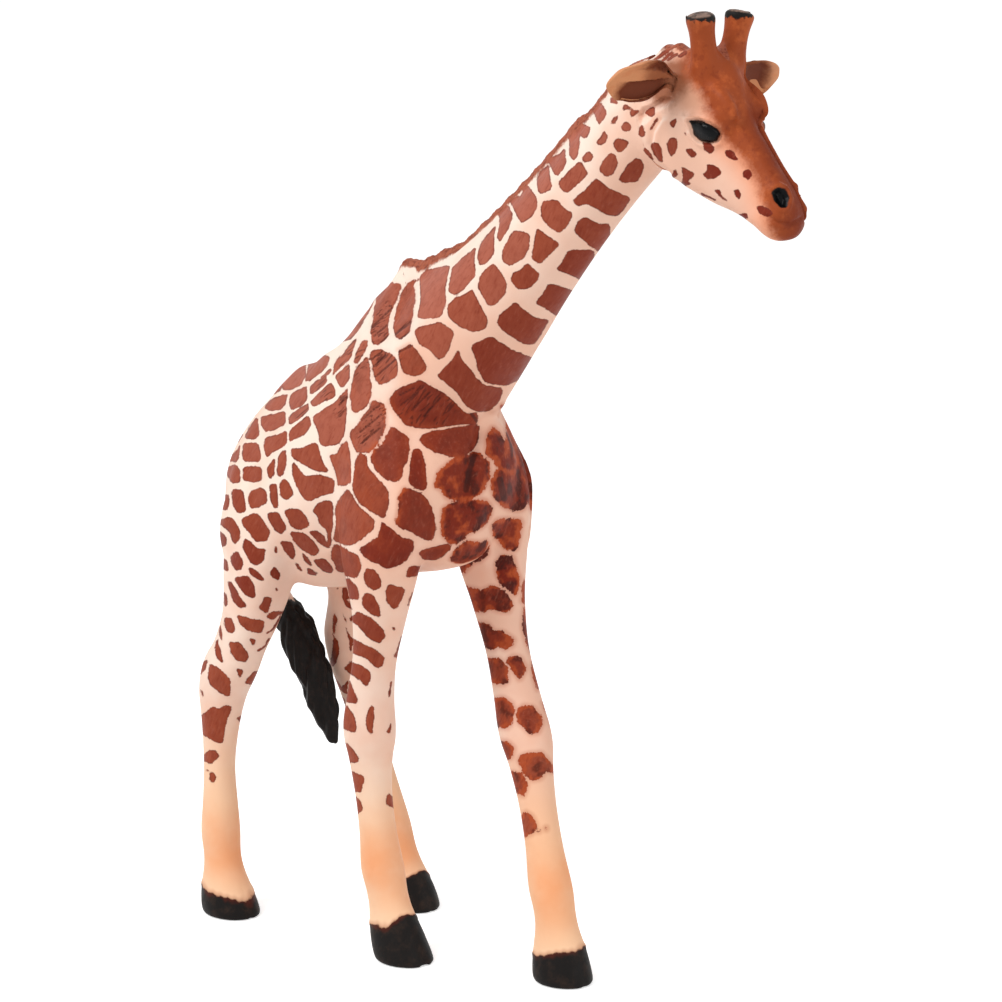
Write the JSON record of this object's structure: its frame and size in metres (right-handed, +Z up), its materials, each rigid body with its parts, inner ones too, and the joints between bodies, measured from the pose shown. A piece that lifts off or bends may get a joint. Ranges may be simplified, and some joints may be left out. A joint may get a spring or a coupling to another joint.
{
  "type": "toy giraffe figure",
  "caption": "Rigid plastic toy giraffe walking on flat-soled hooves, with its long neck leaning forward, short horns, leaf-shaped ears and a tufted tail.",
  "frame": {"origin": "on the ground, under the middle of the figure's bounding box", "axes": "+Z up, the figure faces -Y and its left side is +X"},
  "size_m": [0.0378, 0.1434, 0.1746],
  "materials": {
    "coat": "satin cream PVC, hand painted with red-brown patches, orange lower legs and black hooves",
    "tan": "satin PVC, airbrushed orange-brown with dark tips",
    "black": "satin PVC, painted black over its tuft"
  },
  "bodies": {
    "root": {"torso": "coat", "neck": "coat", "head": "coat", "right_horn": "tan", "left_horn": "tan", "right_ear": "tan", "left_ear": "tan", "tail": "black", "front_right_leg": "coat", "front_left_leg": "coat", "hind_right_leg": "coat", "hind_left_leg": "coat"}
  },
  "joints": []
}
